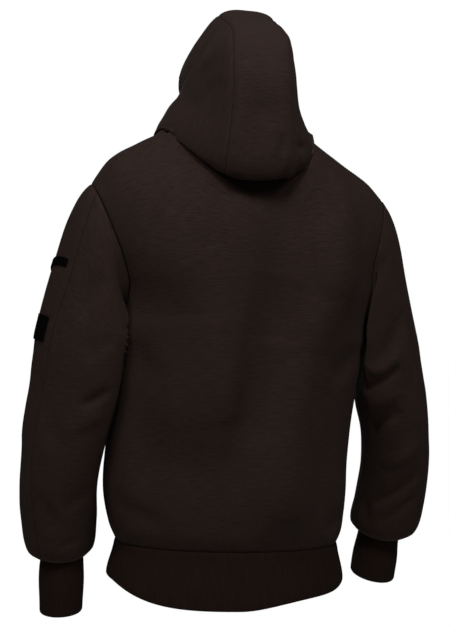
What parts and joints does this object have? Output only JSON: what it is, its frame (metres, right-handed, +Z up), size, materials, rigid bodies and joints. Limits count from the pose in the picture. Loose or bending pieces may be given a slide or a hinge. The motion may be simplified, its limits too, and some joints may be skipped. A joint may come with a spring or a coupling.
{
  "type": "zip-up hoodie",
  "caption": "Zip-up hoodie in heavy dark fleece, worn form with the hood up: hooded top with long sleeves, rib cuffs, rib waistband and a metal front zip; hollow.",
  "frame": {"origin": "middle of the neck, level with the highest points of the shoulder seams, where the wearer's shoulders hold the garment up", "axes": "+Z up, -Y the way the wearer faces, +X the wearer's left"},
  "size_m": [0.6621, 0.2989, 0.9545],
  "materials": {
    "fleece": "marled brushed fleece, matte",
    "rib_knit": "rib knit, matte",
    "tape": "woven tape, flat black",
    "zip_metal": "darkened metal, satin"
  },
  "bodies": {
    "garment": {"back_panel": "fleece", "front_left": "fleece", "front_right": "fleece", "sleeve_left_upper": "fleece", "sleeve_left_under": "fleece", "sleeve_right_upper": "fleece", "sleeve_right_under": "fleece", "hood_left": "fleece", "hood_right": "fleece", "hood_gusset": "fleece", "cuff_left": "rib_knit", "cuff_right": "rib_knit", "waistband": "rib_knit", "zip_tape_left": "tape", "zip_tape_right": "tape", "pocket_tape": "tape", "pocket_tab": "tape", "zip_chain": "zip_metal", "zip_slider": "zip_metal"},
    "zip_pull": {"zip_pull": "zip_metal"}
  },
  "joints": [
    {"name": "pull_swing", "type": "hinge", "parent": "garment", "child": "zip_pull", "pos_m": [0, -0.12044, -0.09333], "axis": [-1, 0, 0], "range_deg": [0, 120]}
  ]
}
